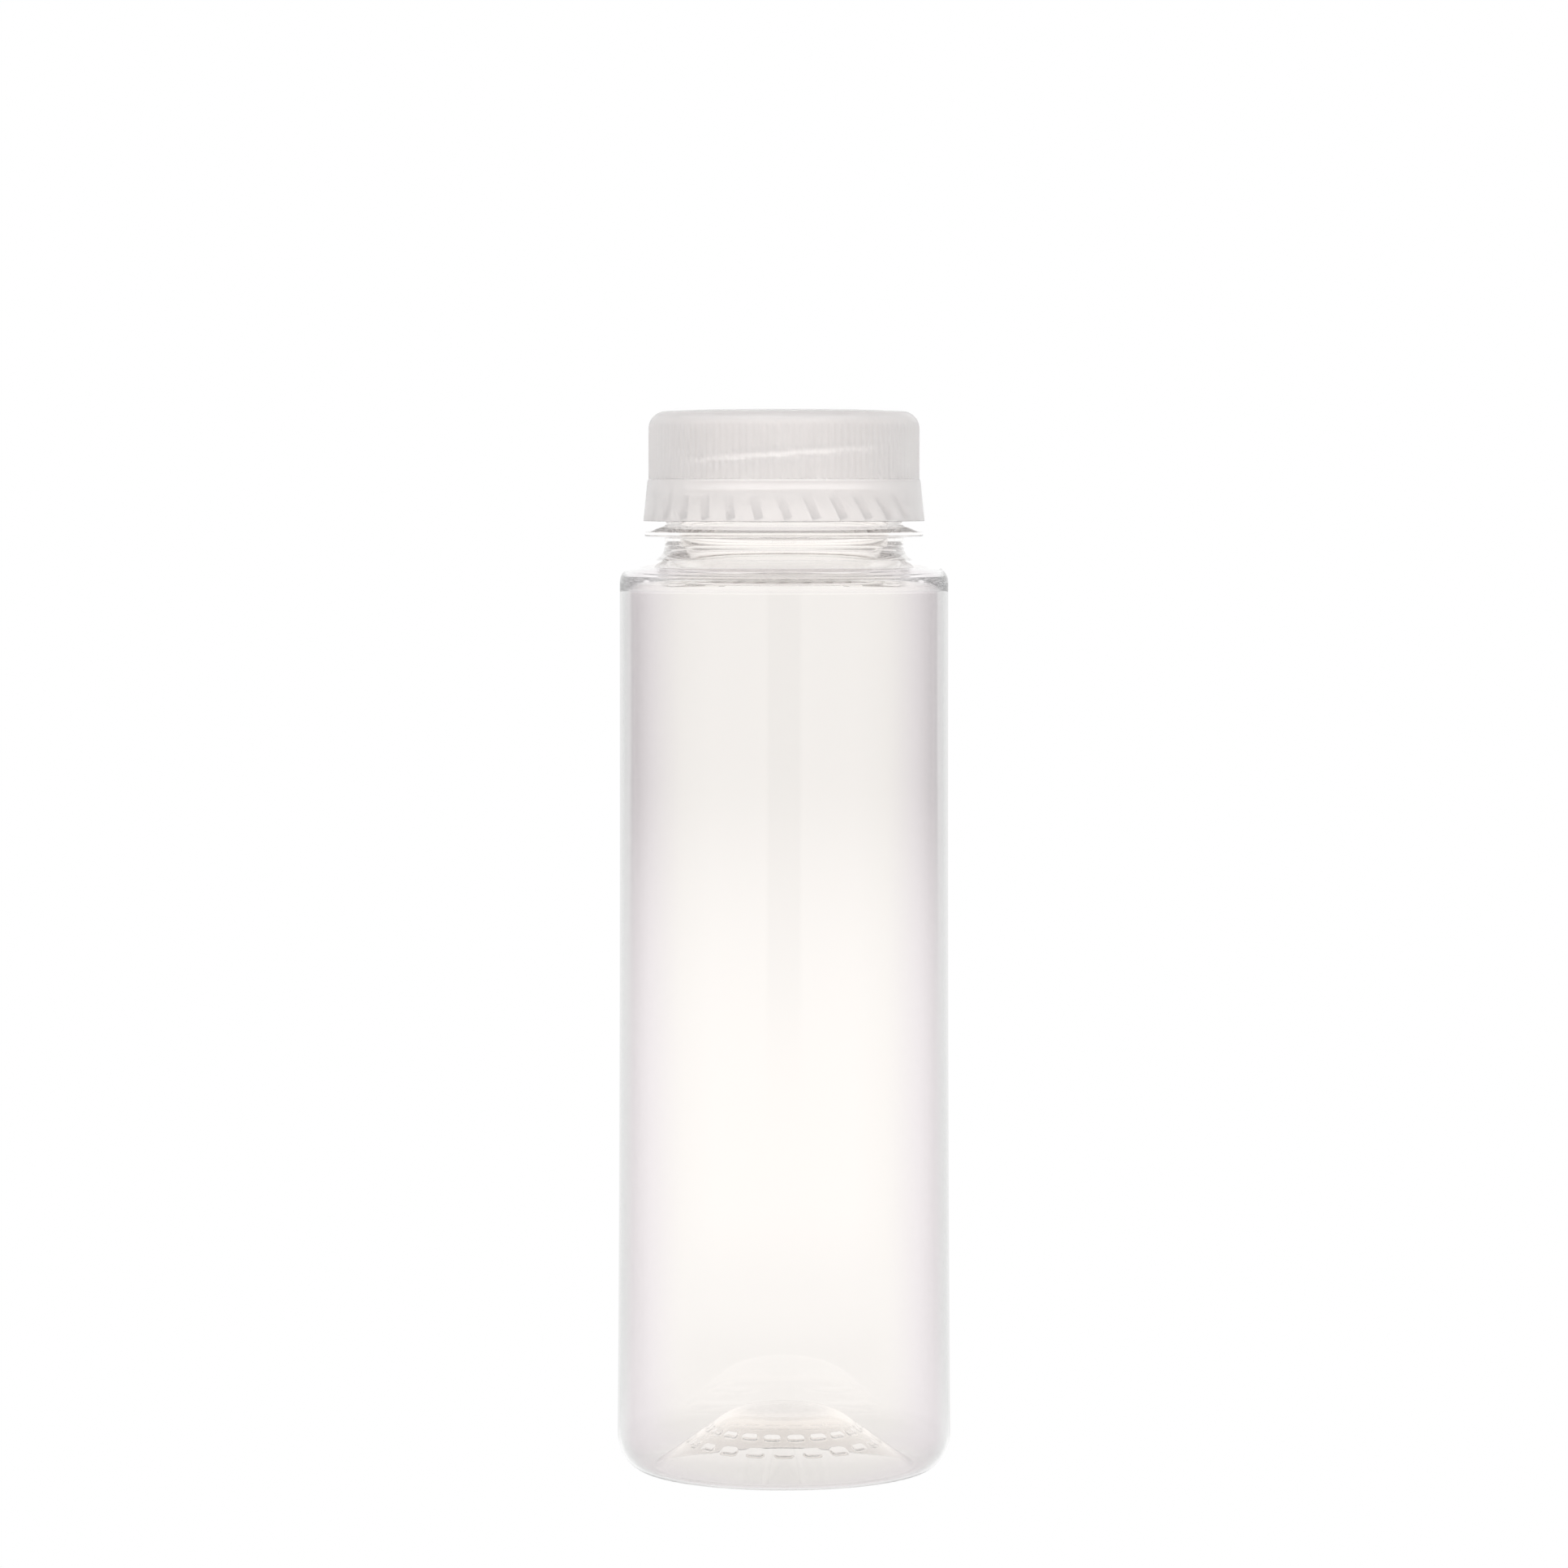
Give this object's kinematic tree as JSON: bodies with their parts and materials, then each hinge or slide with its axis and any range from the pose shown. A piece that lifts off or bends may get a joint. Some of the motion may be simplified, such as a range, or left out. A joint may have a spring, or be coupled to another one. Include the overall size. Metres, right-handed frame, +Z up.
{
  "type": "plastic drinks bottle",
  "caption": "Empty clear plastic drinks bottle with a square shoulder, straight round body and pushed-up base, shut with a translucent ribbed screw cap and tamper band.",
  "frame": {"origin": "centre of the standing ring under the base, on the surface that the bottle stands on", "axes": "+Z up along the bottle's axis, from the base to the cap; -Y towards the picture's viewer"},
  "size_m": [0.051, 0.051, 0.162],
  "materials": {
    "clear_pet": "clear, smooth and glossy, as blown",
    "natural_polypropylene": "milky and translucent, satin, as moulded"
  },
  "bodies": {
    "root": {"bottle_shell": "clear_pet", "screw_cap": "natural_polypropylene"}
  },
  "joints": []
}
